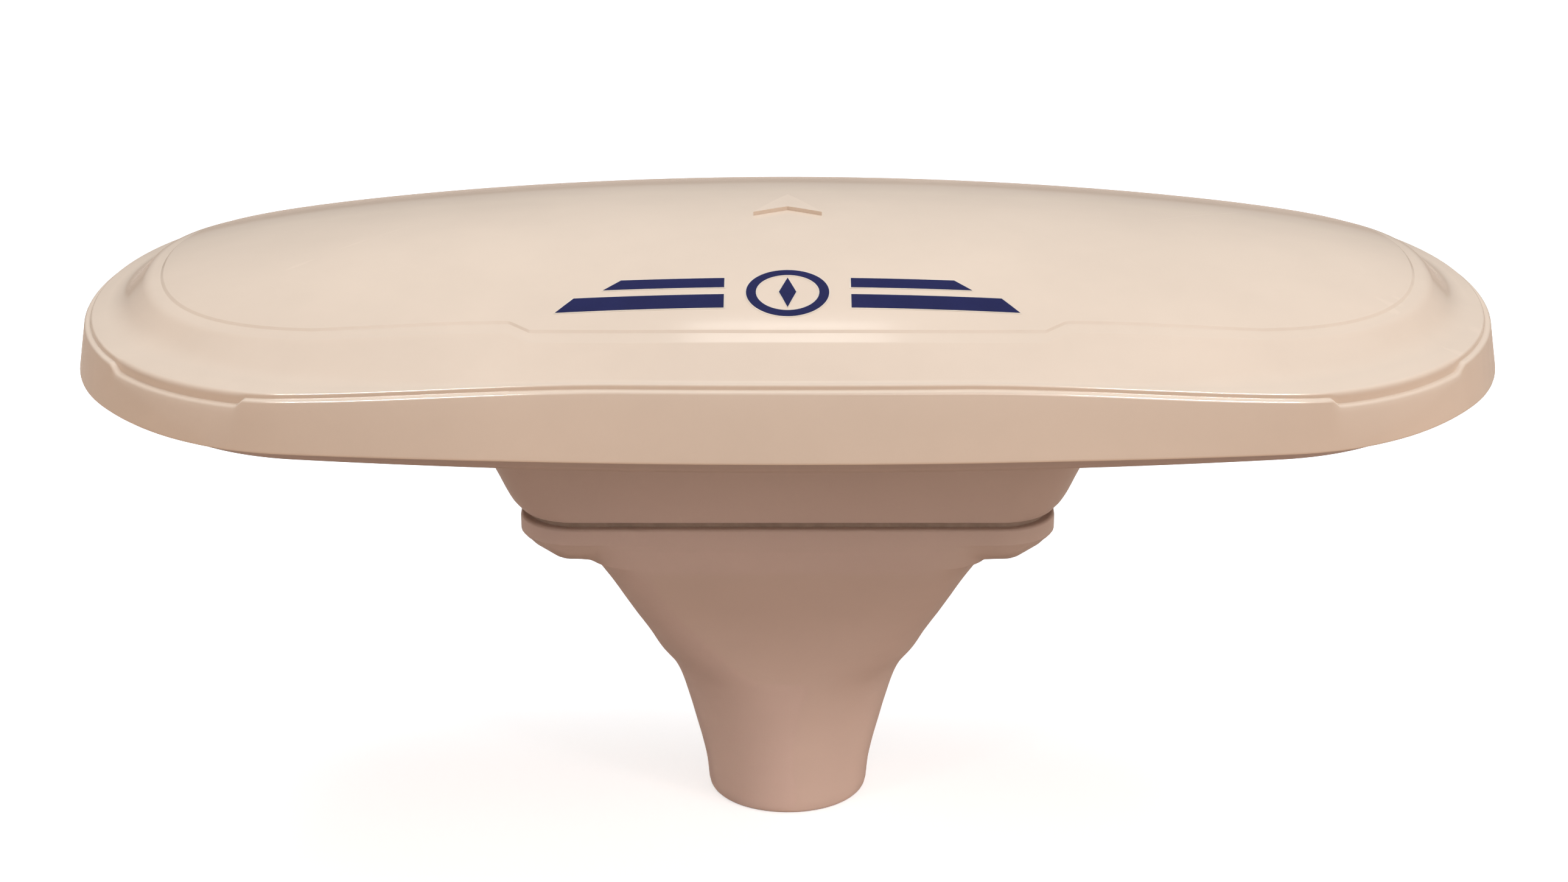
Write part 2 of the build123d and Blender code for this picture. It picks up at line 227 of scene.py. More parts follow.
# Share of a plastic's gloss value that its uneven gloss runs between. MATERIALS keeps each such
# range on one side of 0.275, where the renderer's denoiser changes over and leaves smudges.
GLOSS_RANGE = (0.85, 1.2)
EDGE_POINTINESS = (0.51, 0.58)
WEAR = 0.25               # how far rubbed edges go toward their paler colour


def edge_mask(tree):
    """White on outward edges, black elsewhere."""
    geometry = tree.nodes.new("ShaderNodeNewGeometry")
    return spread(tree, geometry.outputs["Pointiness"], 0.0, 1.0, *EDGE_POINTINESS)


def plastic(name, color, gloss, grain=0.0, coat=0.0):
    """Moulded, weathered plastic: faint blotches, rubbed edges, uneven gloss and a fine skin."""
    material, tree, shader = node_tree(name)
    pale = tuple(min(c * 1.04, 1.0) for c in color)
    dull = tuple(c * 0.965 for c in color)
    blotch = blend_color(tree, spread(tree, noise(tree, 28.0), 0.0, 1.0), dull, pale)
    rubbed = tuple(min(c * 1.10 + 0.02, 1.0) for c in color)
    worn = tree.nodes.new("ShaderNodeMath")
    worn.operation = "MULTIPLY"
    worn.inputs[1].default_value = WEAR
    tree.links.new(edge_mask(tree), worn.inputs[0])
    tree.links.new(blend_color(tree, worn.outputs[0], blotch, rubbed), shader.inputs["Base Color"])
    uneven = spread(tree, noise(tree, 60.0, 6.0), *(gloss * share for share in GLOSS_RANGE))
    tree.links.new(uneven, shader.inputs["Roughness"])
    shader.inputs["Specular IOR Level"].default_value = 0.5
    shader.inputs["Coat Weight"].default_value = coat
    shader.inputs["Coat Roughness"].default_value = gloss * 0.5
    bump(tree, shader, noise(tree, 150.0, 2.0), 0.00002, 0.35)
    if grain:
        bump(tree, shader, noise(tree, 2600.0, 3.0), grain, 0.6)
    return material


def metal(name, color, gloss, brushed=(1, 1, 1)):
    """Metal with drawn or turned marks and slightly stained patches."""
    material, tree, shader = node_tree(name)
    stained = tuple(c * 0.82 for c in color)
    patches = spread(tree, noise(tree, 180.0, 5.0), 0.0, 1.0)
    tree.links.new(blend_color(tree, patches, color, stained), shader.inputs["Base Color"])
    shader.inputs["Metallic"].default_value = 1.0
    marks = noise(tree, 900.0, 3.0, stretch=brushed)
    tree.links.new(spread(tree, marks, gloss * 0.8, gloss * 1.35), shader.inputs["Roughness"])
    bump(tree, shader, marks, 0.00001, 0.4)
    return material


def matt(name, color, roughness, grain_scale, grain_height, second=None):
    """Rubber, ceramic, board and moulded parts: two close shades over a fine grain."""
    material, tree, shader = node_tree(name)
    other = second or tuple(c * 0.8 for c in color)
    shade = spread(tree, noise(tree, grain_scale * 0.2), 0.0, 1.0)
    tree.links.new(blend_color(tree, shade, color, other), shader.inputs["Base Color"])
    grain = noise(tree, grain_scale, 5.0)
    tree.links.new(spread(tree, grain, roughness * 0.85, min(roughness * 1.15, 1.0)),
                   shader.inputs["Roughness"])
    bump(tree, shader, grain, grain_height, 0.5)
    return material


IVORY = (0.80, 0.655, 0.535)
# Same ivory plastic as the dome, darkened for the housing and the pole mount: painted shade, for
# the shade they lie in under the dome.
IVORY_WITH_PAINTED_SHADE = (0.49, 0.38, 0.33)
MATERIALS = {
    "dome_shell": plastic("gloss_ivory", IVORY, 0.13, coat=0.25),
    # The housing and the mount take the darkened ivory, which is painted shade.
    "housing_shell": plastic("housing_satin_with_painted_shade", IVORY_WITH_PAINTED_SHADE, 0.335),
    "mount_shell": plastic("mount_satin_with_painted_shade", IVORY_WITH_PAINTED_SHADE, 0.345, grain=0.00001),
    # Rubber for the gasket and seals, brown in place of black and matched to the shaded groove
    # between the neck and the pole mount: its colour is painted shade.
    "black_rubber": matt("rubber_painted_groove_shade", (0.36, 0.27, 0.22), 0.75, 1800.0, 0.00003),
    "stainless": metal("stainless", (0.62, 0.61, 0.60), 0.28, (1, 1, 8)),
    "brass_fittings": metal("brass", (0.78, 0.57, 0.25), 0.25, (1, 1, 10)),
    "circuit_board": matt(
        "solder_mask", (0.02, 0.16, 0.07), 0.35, 900.0, 0.00002, (0.015, 0.11, 0.05)
    ),
    "antenna_ceramic": matt("patch_ceramic", (0.78, 0.73, 0.64), 0.55, 1400.0, 0.00002),
    "silver_film": metal("silver_film", (0.83, 0.82, 0.78), 0.33),
    "ground_aluminium": metal("sheet_aluminium", (0.76, 0.77, 0.78), 0.32, (1, 12, 1)),
    "shield_tin": metal("tinned_sheet", (0.68, 0.69, 0.70), 0.30, (10, 1, 1)),
    "black_plastic": matt("black_plastic", (0.03, 0.03, 0.033), 0.45, 1500.0, 0.00002),
    "capacitor_cans": metal("can_aluminium", (0.70, 0.71, 0.73), 0.28, (1, 1, 10)),
    "white_nylon": matt("nylon", (0.80, 0.79, 0.74), 0.5, 1200.0, 0.00002),
    "cable_jacket": matt("cable_jacket", (0.03, 0.03, 0.032), 0.55, 1600.0, 0.00003),
}
NAVY = matt("navy_print", (0.008, 0.012, 0.085), 0.40, 700.0, 0.000004, (0.006, 0.010, 0.072))
NAVY.node_tree.nodes["Principled BSDF"].inputs["Specular IOR Level"].default_value = 0.2
PRINT_EDGE = matt("print_edge", (0.86, 0.74, 0.62), 0.22, 700.0, 0.000004)

# CAD nodes that no piece replaces are shown as they are, in the material of their slot.
for entry in frame["record"]["subparts"]:
    cad_mesh = frame["nodes"][entry["node"]].data
    cad_mesh.materials.clear()
    cad_mesh.materials.append(MATERIALS[entry["material_slot"]])


# ---------------------------------------------------------------- dome outlines
HUB = 66.0                # outlines are read as distances from a line this long each way
HUB_OVERLAP = 2.0
SHOULDER_X = 85.0         # where the shallow side arcs of an oval meet its rounded ends
END_LEAD = 0.585          # how far into the ends the sides' direction is carried
END_BLUNTNESS = 0.55


class Outline:
    """A closed outline, symmetric both ways, given by its quarter from (0, y) to (x, 0)."""

    def __init__(self, quarter):
        self.side = [(x, y) for x, y in quarter if x <= HUB + HUB_OVERLAP]
        self.end = [
            (math.atan2(x - HUB, y), math.hypot(x - HUB, y))
            for x, y in quarter if x >= HUB - HUB_OVERLAP
        ]

    def distance(self, hub, ux, uy):
        """Distance from the hub line to the outline along a direction."""
        if ux == 0:
            table, value = self.side, abs(hub)
        else:
            table, value = self.end, math.atan2(abs(ux), abs(uy))
        low, high = 0, len(table) - 1
        while high - low > 1:
            middle = (low + high) // 2
            if table[middle][0] <= value:
                low = middle
            else:
                high = middle
        (x0, y0), (x1, y1) = table[low], table[high]
        return mix(y0, y1, min(max((value - x0) / (x1 - x0), 0.0), 1.0))


def oval(length, width, shoulder, samples=160):
    """Long oval: shallow arcs along both sides, rounded ends."""
    rise = width - shoulder
    radius = (rise ** 2 + SHOULDER_X ** 2) / (2 * rise)
    slope = SHOULDER_X / (radius - rise)
    lead = END_LEAD * (length - SHOULDER_X)
    quarter = []
    for k in range(samples):
        x = SHOULDER_X * k / samples
        quarter.append((x, width - radius + math.sqrt(radius ** 2 - x ** 2)))
    handles = [
        (SHOULDER_X, shoulder),
        (SHOULDER_X + lead, shoulder - slope * lead),
        (length, END_BLUNTNESS * shoulder),
        (length, 0.0),
    ]
    quarter += [bezier(handles, k / samples) for k in range(samples + 1)]
    return Outline(quarter)


PANEL_TIP = 113.6


def panel_outline(samples=160):
    """Raised top panel: an oval with a slightly wider tab along the middle of each side."""
    tab = [(0.0, 47.2), (15.0, 47.1), (30.0, 46.6), (44.4, 45.2)]
    waist = [(47.8, 42.4), (56.0, 41.5), (70.0, 41.2), (81.8, 39.8)]
    end = [(81.8, 39.8), (96.8, 36.5), (PANEL_TIP, 29.0), (PANEL_TIP, 0.0)]
    quarter = []
    for handles in (tab, waist, end):
        quarter += [bezier(handles, k / samples) for k in range(samples)]
    return Outline(quarter + [(PANEL_TIP, 0.0)])


SKIRT = oval(HALF_LENGTH, HALF_WIDTH, 60.0)
SKIRT_TOP = oval(128.1, 60.3, 57.3)
RIM = oval(RIM_HALF_LENGTH, 58.0, 52.0)
PAN = oval(120.5, 56.8, 50.5)
PANEL = panel_outline()

SHELL = 2.5
LINING = SHELL + 0.6      # thickness of the cover outside the rim
VAULT = SHELL + 1.2       # thickness of the cover under the crown
CROWN = 25.3              # heights on the dome are counted from the bottom of its skirt
CROWN_LONG_RADIUS = 790.0
CROWN_CROSS_RADIUS = 145.0
CROWN_DROOP = 0.85        # extra fall of the crown at CROWN_DROOP_X, near its ends
CROWN_DROOP_X = 108.0
EDGE_HEIGHT = 7.9         # the skirt's top edge at the ends of the dome
EDGE_RISE = 2.8           # how much higher it is along the middle of each side
EDGE_FALL = (28.0, 95.0)
NOTCH_START = (92.0, 93.6)
NOTCH_STOP = (116.4, 118.2)
NOTCH_DEPTH = 1.2
LEDGE = 1.2               # from the skirt's top edge in to the cap
CAP_RISE = 0.9
WALL_RING = 0.72          # how far up the skirt its wall stays free of the notches
# (distance along the dome, height) of the skirt's bottom edge
HEM = [
    (45.0, -0.45), (92.0, -0.65), (104.0, -0.50), (116.0, -0.25), (123.0, -0.60), (127.5, -0.95),
]
TOWARD_END = (50.0, 105.0)
RING_WIDTH = (1.2, 7.4)   # flat ring inside the cap's rim, at the middle and at the ends
RING_SLOPE = (0.09, 0.16)
FOOT = 0.5                # width of the small step round the panel
FOOT_DROP = 0.42
STRIP = 2.5               # strip round the panel that still follows the crown
STRIP_TAB = 0.2           # how much wider it is at the tabs
TAB_END = (38.0, 60.0)
SLOPE = 5.2               # least width of the slope between that strip and the ring
PANEL_CORE = 0.96         # part of the panel that lies wholly on the crown
RIM_HEIGHT = 4.0          # the flat rim where the cover and the housing meet
RIM_WIDTH = 4.5


def crown(x, y):
    """Height of the barrel surface that the top panel follows."""
    sag = CROWN_LONG_RADIUS - math.sqrt(CROWN_LONG_RADIUS ** 2 - x ** 2)
    radius = CROWN_CROSS_RADIUS - sag - CROWN_DROOP * (abs(x) / CROWN_DROOP_X) ** 9
    return CROWN - CROWN_CROSS_RADIUS + math.sqrt(radius ** 2 - y ** 2)


def graded(start, stop, coarse, fine, zones):
    """Positions from start to stop, closer together inside the zones."""
    spots = [start]
    while spots[-1] < stop - 1e-6:
        close = any(low <= abs(spots[-1]) <= high for low, high in zones)
        spots.append(min(spots[-1] + (fine if close else coarse), stop))
    return spots


def directions():
    """(hub x, unit x, unit y) all the way round the dome, anticlockwise."""
    # finer steps at the ends of the panel's tabs and of the skirt's notches
    sides = graded(-HUB, HUB, 2.0, 0.35, [(42.0, 50.0)])
    ends = graded(-90.0, 90.0, 2.0, 0.5, [(28.0, 42.0), (58.0, 70.0)])
    result = []
    for angle in ends[:-1]:
        result.append((HUB, math.cos(math.radians(angle)), math.sin(math.radians(angle))))
    result += [(x, 0, 1) for x in reversed(sides[1:])]
    for angle in ends[:-1]:
        result.append((-HUB, -math.cos(math.radians(angle)), -math.sin(math.radians(angle))))
    result += [(x, 0, -1) for x in sides[:-1]]
    return result


def edge_height(x):
    """Height of the skirt's top edge, higher along the middle of each side."""
    return EDGE_HEIGHT + EDGE_RISE * (1 - smoothstep(*EDGE_FALL, abs(x)))


def notch(x):
    """One where the skirt's edge steps down near the four corners."""
    x = abs(x)
    return smoothstep(*NOTCH_START, x) * (1 - smoothstep(*NOTCH_STOP, x))


def dome_profile(hub, ux, uy):
    """(distance, height) points from the underside of the crown, round the skirt, to its top."""
    def at(outline):
        return outline.distance(hub, ux, uy)

    bottom, edge = at(SKIRT), at(SKIRT_TOP)
    rim, panel = at(RIM), at(PANEL)
    edge_x = hub + ux * edge
    cap = edge - LEDGE
    cap_h = edge_height(edge_x) + CAP_RISE
    edge_h = cap_h - CAP_RISE - NOTCH_DEPTH * notch(edge_x)
    hem = smooth_curve(HEM, abs(edge_x))
    toward_end = smoothstep(*TOWARD_END, abs(edge_x))

    x, y = hub + ux * panel, uy * panel
    panel_h = crown(x, y)
    core, core_h = panel * PANEL_CORE, crown(hub + ux * panel * PANEL_CORE, uy * panel * PANEL_CORE)
    fall = ux * x / CROWN_LONG_RADIUS + uy * y / CROWN_CROSS_RADIUS
    strip = STRIP + STRIP_TAB * (1 - smoothstep(*TAB_END, abs(x)))
    foot, foot_h = panel + FOOT, panel_h - FOOT_DROP
    strip_h = foot_h - fall * strip
    ring = min(mix(*RING_WIDTH, toward_end), cap - panel - FOOT - strip - SLOPE)
    crease, crease_h = cap - ring, cap_h + mix(*RING_SLOPE, toward_end) * ring

    rim_in, ceiling = rim - RIM_WIDTH, min(crease_h, panel_h) - LINING
    # (distance, height, radius) corners from inside the rim, round the skirt and onto the panel
    corners = [
        (rim_in, ceiling, 0),
        (rim_in, RIM_HEIGHT, 0.3),
        (rim, RIM_HEIGHT, 0.3),
        (rim, crease_h - LINING, 0.3),
        (cap - SHELL, cap_h - LINING, 1.0),
        (bottom - SHELL, hem, 0.6),
        (bottom, hem, 0.4),
        (mix(bottom, edge, WALL_RING), mix(hem, cap_h - CAP_RISE, WALL_RING), 0),
        (edge, edge_h, 0.8),
        (cap + 0.1, edge_h + 0.05, 0.2),
        (cap, cap_h, mix(0.7, 2.2, toward_end)),
        (crease, crease_h, 12.0),
        (foot + strip, strip_h, mix(3.2, 5.0, toward_end)),
        (foot, foot_h, 0.2),
        (panel, panel_h, 0.35),
        (core, core_h, 0),
    ]
    under = []
    for k in range(9):
        d = rim_in * k / 9
        vault = crown(hub + ux * d, uy * d) - VAULT
        under.append((d, mix(vault, ceiling, smoothstep(0.65, 1.0, k / 9))))
    top = []
    for k in range(1, 25):
        d = core * (1 - k / 24)
        top.append((d, crown(hub + ux * d, uy * d)))
    return [Vector(p) for p in under] + rounded(corners) + [Vector(p) for p in top]


def build_dome():
    columns = []
    for hub, ux, uy in directions():
        columns.append([
            (hub + ux * p.x, uy * p.x, SKIRT_Z + p.y) for p in dome_profile(hub, ux, uy)
        ])
    points, faces = skin([list(ring) for ring in zip(*columns)])
    dome = mesh_piece(
        "dome_shell", points, faces, MATERIALS["dome_shell"], smooth_angle=50
    )
    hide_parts("dome_cover")


build_dome()


# ---------------------------------------------------------------- marks on the crown
def crown_patch(name, outline, lift, thickness, material):
    """Thin solid that follows the crown, from a flat (x, y) outline."""
    work = bmesh.new()
    verts = [work.verts.new((x, y, 0.0)) for x, y in outline]
    face = work.faces.new(verts)
    bmesh.ops.triangulate(work, faces=[face])
    for _ in range(4):
        long_edges = [e for e in work.edges if e.calc_length() > 2.5]
        if long_edges:
            bmesh.ops.subdivide_edges(work, edges=long_edges, cuts=1)
            bmesh.ops.triangulate(work, faces=work.faces)
    made = bmesh.ops.extrude_face_region(work, geom=list(work.faces))
    upper = {v for v in made["geom"] if isinstance(v, bmesh.types.BMVert)}
    for vert in work.verts:
        height = SKIRT_Z + crown(vert.co.x, vert.co.y)
        vert.co.z = height + (lift + thickness if vert in upper else lift)
    points = [tuple(v.co) for v in work.verts]
    work.verts.index_update()
    faces = [[v.index for v in f.verts] for f in work.faces]
    work.free()
    mesh_piece(name, points, faces, material, smooth_angle=30)


def arc(centre, radius, start, stop, steps):
    """Points along a circular arc between two angles in degrees."""
    for k in range(steps + 1):
        angle = math.radians(mix(start, stop, k / steps))
        yield centre[0] + radius * math.cos(angle), centre[1] + radius * math.sin(angle)


ARROW = [(-6.2, -5.0), (0.0, -1.8), (6.2, -5.0), (0.0, 6.5)]
crown_patch("heading_arrow", ARROW, -0.3, 1.0, MATERIALS["dome_shell"])

PRINT_Y = -36.3
# (low edge, high edge, outer end) of the two stripes on each side of the ring
STRIPES = ((-4.6, -0.6, 40.0), (1.6, 4.6, 32.0))
STRIPE_START = 11.0
STRIPE_SLANT = 3.0
RING_RADIUS = 7.2
RING_LINE = 1.7
NEEDLE_LENGTH = 4.6
NEEDLE_WAIST = 1.5


def print_shapes(margin):
    """Plain compass mark: a ring with a needle between two pairs of stripes."""
    shapes = []
    for side in (-1, 1):
        for low, high, reach in STRIPES:
            shapes.append([
                (side * (STRIPE_START - margin), PRINT_Y + low - margin),
                (side * (reach + margin), PRINT_Y + low - margin),
                (side * (reach - STRIPE_SLANT + margin), PRINT_Y + high + margin),
                (side * (STRIPE_START - margin), PRINT_Y + high + margin),
            ])
    centre = (0.0, PRINT_Y)
    for side in (0, 180):
        ring = list(arc(centre, RING_RADIUS + margin, side, side + 180, 32))
        ring += list(arc(centre, RING_RADIUS - RING_LINE - margin, side + 180, side, 32))
        shapes.append(ring)
    tip, waist = NEEDLE_LENGTH + margin, NEEDLE_WAIST + margin
    shapes.append([
        (0.0, PRINT_Y - tip), (waist, PRINT_Y), (0.0, PRINT_Y + tip), (-waist, PRINT_Y),
    ])
    return shapes


PRINT_MARGIN = 0.28       # pale line round the navy print
for number, shape in enumerate(print_shapes(PRINT_MARGIN)):
    crown_patch(f"print_edge_{number}", shape, 0.02, 0.02, PRINT_EDGE)
for number, shape in enumerate(print_shapes(0.0)):
    crown_patch(f"print_{number}", shape, 0.05, 0.03, NAVY)


# ---------------------------------------------------------------- lower shell
DIRECTIONS = directions()
PAN_HEIGHT = -5.3         # underside of the shell
PAN_EDGE = 1.2            # radius of its lower edge
PAN_BEARING = (118.0, 56.8)    # oval that lines up its points with the neck's
FLOOR_HEIGHT = -1.2       # inside floor of the shell
NECK_HEIGHT = NECK_Z - SKIRT_Z
NECK_FLOOR = NECK_HEIGHT + 2.5
CONNECTOR_HOLE = 8.1
# (half length, half width, corner) where the underside turns down into the neck
FLARE = (58.5, 49.6, 14.0)
# (height, half size) of the neck
NECK_X = [(-20.5, 47.4), (-18.6, 49.0), (-13.0, 51.6), (-7.0, 54.4), (-5.9, 55.1), (-5.4, 56.6)]
NECK_Y = [(-20.5, 41.0), (-13.0, 43.6), (-7.0, 45.8), (-5.9, 46.5), (-5.4, 47.8)]
NECK_STEP = 0.5
NECK_FOOT = (47.7, 41.1, 10.0)
NECK_FOOT_EDGE = 0.4
# (half length, half width, corner, height) of the inside of the neck, going up
NECK_INSIDE = [
    (41.5, 36.0, 7.0, NECK_FLOOR),
    (42.6, 37.1, 8.0, NECK_FLOOR + 0.4),
    (43.0, 37.5, 8.0, NECK_FLOOR + 1.5),
    (45.0, 39.0, 9.0, FLOOR_HEIGHT - 1.0),
    (46.0, 39.6, 9.0, FLOOR_HEIGHT),
]


def box_reach(half_x, half_y, corner, dx, dy):
    """Distance along a direction from the axis to a rounded rectangle."""
    length = math.hypot(dx, dy)
    dx, dy = abs(dx) / length, abs(dy) / length
    corner = min(corner, half_x, half_y)
    if dx > 0 and half_x / dx * dy <= half_y - corner:
        return half_x / dx
    if dy > 0 and half_y / dy * dx <= half_x - corner:
        return half_y / dy
    cx, cy = half_x - corner, half_y - corner
    along = dx * cx + dy * cy
    return along + math.sqrt(max(along ** 2 - cx ** 2 - cy ** 2 + corner ** 2, 0.0))


def hub_ring(outline, inset, height):
    """Points on an oval drawn in by an inset."""
    ring = []
    for hub, ux, uy in DIRECTIONS:
        d = outline.distance(hub, ux, uy) - inset
        ring.append(Vector((hub + ux * d, uy * d, SKIRT_Z + height)))
    return ring


def box_ring(half_x, half_y, corner, height, bearings):
    """Points on a rounded rectangle, one for each bearing."""
    ring = []
    for c, s in bearings:
        dx, dy = half_x * c, half_y * s
        d = box_reach(half_x, half_y, corner, dx, dy) / math.hypot(dx, dy)
        ring.append(Vector((dx * d, dy * d, SKIRT_Z + height)))
    return ring


def cut(piece, cutter):
    """Cuts a closed mesh out of a piece, for good."""
    change = piece.modifiers.new("cut", "BOOLEAN")
    change.operation = "DIFFERENCE"
    change.solver = "EXACT"
    change.object = cutter
    bpy.context.view_layer.update()
    mesh = bpy.data.meshes.new_from_object(
        piece.evaluated_get(bpy.context.evaluated_depsgraph_get())
    )
    piece.modifiers.clear()
    piece.data = mesh
    bpy.data.objects.remove(cutter)


def pin_cutter(spots, stages, sides=40):
    """Closed stepped pins at some spots; each stage is (height, radius) going up."""
    points, faces = [], []
    for x, y in spots:
        base = len(points)
        for height, radius in stages:
            for px, py in list(arc((x, y), radius, 3.7, 363.7, sides))[:-1]:
                points.append((px, py, SKIRT_Z + height))
        for level in range(len(stages) - 1):
            for k in range(sides):
                a, b = base + level * sides + k, base + level * sides + (k + 1) % sides
                faces.append((a, b, b + sides, a + sides))
        faces.append(list(range(base, base + sides))[::-1])
        top = base + (len(stages) - 1) * sides
        faces.append(list(range(top, top + sides)))
    mesh = bpy.data.meshes.new("cutter")
    mesh.from_pydata([Vector(p) * MM for p in points], [], faces)
    cutter = bpy.data.objects.new("cutter", mesh)
    bpy.context.scene.collection.objects.link(cutter)
    return cutter


COVER_SCREWS = [(-111.5, 0.0), (111.5, 0.0)]
COVER_SCREWS += [(x, y) for x in (-76.0, 76.0) for y in (-46.2, 46.2)]
COVER_SCREW_RECESS = [(-12.0, 3.2), (PAN_HEIGHT + 3.0, 3.2)]


def build_housing():
    pan = hub_ring(PAN, 0.0, PAN_HEIGHT)
    bearings = []
    for p in pan:
        angle = math.atan2(p.y / PAN_BEARING[1], p.x / PAN_BEARING[0])
        bearings.append((math.cos(angle), math.sin(angle)))

    def box(half_x, half_y, corner, height):
        return box_ring(half_x, half_y, corner, height, bearings)

    def between(first, second, t):
        return [a.lerp(b, t) for a, b in zip(first, second)]

    # inside, from the connector hole in the neck's floor up to the rim
    hole = (CONNECTOR_HOLE, CONNECTOR_HOLE, CONNECTOR_HOLE)
    rings = [box(*hole, NECK_HEIGHT), box(*hole, NECK_FLOOR)]
    rings += [box(*level) for level in NECK_INSIDE]
    wall_foot = hub_ring(RIM, RIM_WIDTH + 1.0, FLOOR_HEIGHT)
    rings.append(between(rings[-1], wall_foot, 0.5))
    rings += [
        wall_foot,
        hub_ring(RIM, RIM_WIDTH, FLOOR_HEIGHT + 1.0),
        hub_ring(RIM, RIM_WIDTH, RIM_HEIGHT - 0.3),
        hub_ring(RIM, RIM_WIDTH - 0.3, RIM_HEIGHT),
        hub_ring(RIM, 0.4, RIM_HEIGHT),
        hub_ring(RIM, 0.1, RIM_HEIGHT - 0.1),
        hub_ring(RIM, 0.0, RIM_HEIGHT - 0.4),
    ]
    # the lower edge, the flat underside and the flare into the neck
    rings.append(hub_ring(PAN, -0.3, PAN_HEIGHT + PAN_EDGE + 1.0))
    for k in range(9):
        t = math.radians(90 * k / 8)
        inset, rise = PAN_EDGE * (1 - math.cos(t)), PAN_EDGE * (1 - math.sin(t))
        rings.append(hub_ring(PAN, inset, PAN_HEIGHT + rise))
    flare = box(*FLARE, PAN_HEIGHT)
    inner_edge = hub_ring(PAN, 2.5, PAN_HEIGHT)
    rings += [inner_edge, between(inner_edge, flare, 0.35), between(inner_edge, flare, 0.7), flare]
    height = NECK_X[-1][0]
    while height > NECK_HEIGHT + NECK_STEP:
        corner = mix(12.5, 10.0, smoothstep(5.0, 20.0, -height))
        half_x, half_y = smooth_curve(NECK_X, height), smooth_curve(NECK_Y, height)
        rings.append(box(half_x, half_y, corner, height))
        height -= NECK_STEP
    foot_x, foot_y, foot_corner = NECK_FOOT
    for k in range(6):
        t = math.radians(90 * k / 5)
        inset, rise = NECK_FOOT_EDGE * (1 - math.cos(t)), NECK_FOOT_EDGE * (1 - math.sin(t))
        rings.append(box(foot_x - inset, foot_y - inset, foot_corner, NECK_HEIGHT + rise))
    rings.append(box(44.0, 38.2, 9.0, NECK_HEIGHT))
    rings.append(rings[0])
    points, faces = skin(rings)
    shell = mesh_piece(
        "housing_shell", points, faces, MATERIALS["housing_shell"],
        smooth_angle=35,
    )
    cut(shell, pin_cutter(COVER_SCREWS, COVER_SCREW_RECESS))
    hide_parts("lower_housing")


build_housing()


# ---------------------------------------------------------------- pole mount
SOCKET_RADIUS = 15.0
THREAD_RADIUS = 12.7
THREAD_CREST = 11.72      # inner radius of the ridge
THREAD_PITCH = 1.814
THREAD_START = 0.6
THREAD_TOP = 23.0
CABLE_RADIUS = 10.5
TOP_HEIGHT = MOUNT_TOP - SKIRT_Z
TRAY_FOOT = -24.5         # where the tray's sides turn in
EAR_HEIGHT = -29.6        # the tray's underside
FOOT_HEIGHT = -SKIRT_Z    # the socket's rim
MOUNT_SCREWS = [(x * 41.0, y * 28.0) for x in (-1, 1) for y in (-1, 1)]

# (height, half size) of the flared funnel below the tray
FUNNEL_X = [
    (FOOT_HEIGHT, 15.0), (-85.0, 15.5), (-80.0, 16.5), (-75.0, 17.8), (-70.0, 19.0),
    (-65.0, 20.2), (-60.0, 21.8), (-55.0, 24.2), (-50.0, 25.8), (-44.0, 28.2),
    (-40.0, 29.8), (-33.0, 33.0), (-30.0, 35.0), (EAR_HEIGHT, 36.0), (TRAY_FOOT, 38.0),
]
FUNNEL_Y = [
    (FOOT_HEIGHT, 15.0), (-85.0, 15.6), (-80.0, 16.6), (-70.0, 19.3), (-60.0, 23.2),
    (-52.0, 27.4), (-44.0, 32.0), (-36.0, 37.0), (-30.0, 40.2), (-26.6, 41.2), (TRAY_FOOT, 41.6),
]
FUNNEL_CORNER = [
    (FOOT_HEIGHT, 15.0), (-80.0, 16.5), (-72.0, 18.2), (-64.0, 17.8),
    (-56.0, 15.0), (-48.0, 11.5), (-40.0, 9.5), (-30.0, 9.0),
]
FUNNEL_STEP = 0.8
# (height, reach) of the gusset under each end of the tray
GUSSET_X = [
    (-66.0, 18.0), (-62.0, 20.2), (-56.6, 24.9), (-48.0, 31.5),
    (-42.4, 34.6), (-36.0, 37.6), (-29.6, 40.0),
]
GUSSET_HALF = 7.5
GUSSET_BLEND = 3.0
# (height, half size) of the tray's rounded underside
TRAY_STEP = 0.3
TRAY_X = [
    (EAR_HEIGHT, 43.6), (-29.4, 44.6), (-28.9, 45.2), (-27.9, 45.9), (-26.6, 46.6),
    (TRAY_FOOT, 47.6),
]
TRAY_Y = [
    (EAR_HEIGHT, 33.5), (-29.5, 34.7), (-28.9, 37.0), (-27.9, 38.7), (-26.6, 40.2),
    (TRAY_FOOT, 41.6),
]
# (height, distance from the axis) of the bevel that takes off the tray's lower corners
TRAY_BEVEL = [
    (EAR_HEIGHT, 51.5), (-28.9, 53.8), (-27.9, 55.3), (-26.6, 56.6), (TRAY_FOOT, 60.0),
]
BEVEL_X, BEVEL_Y = 0.811, 0.585
TRAY_TOP = (47.6, 41.6, 10.0)
TRAY_LIP = 0.5
SOCKET_EDGE = 1.3
# (height, half length, half width, corner) of the hollow above the cable hole
THROAT = [
    (-64.4, 15.8, 15.8, 15.8), (-52.0, 22.2, 23.8, 12.0), (-44.0, 25.2, 28.4, 10.0),
    (-32.0, 29.8, 34.0, 9.0), (-25.5, 34.0, 36.0, 8.0),
]
# (height, radius) of the screws' recesses and holes, from below
MOUNT_SCREW_RECESS = [(-34.0, 4.0), (-25.5, 4.0), (-25.5, 2.2), (-20.0, 2.2)]


def smooth_max(a, b, width):
    overlap = max(width - abs(a - b), 0.0) / width
    return max(a, b) + overlap ** 2 * width / 4


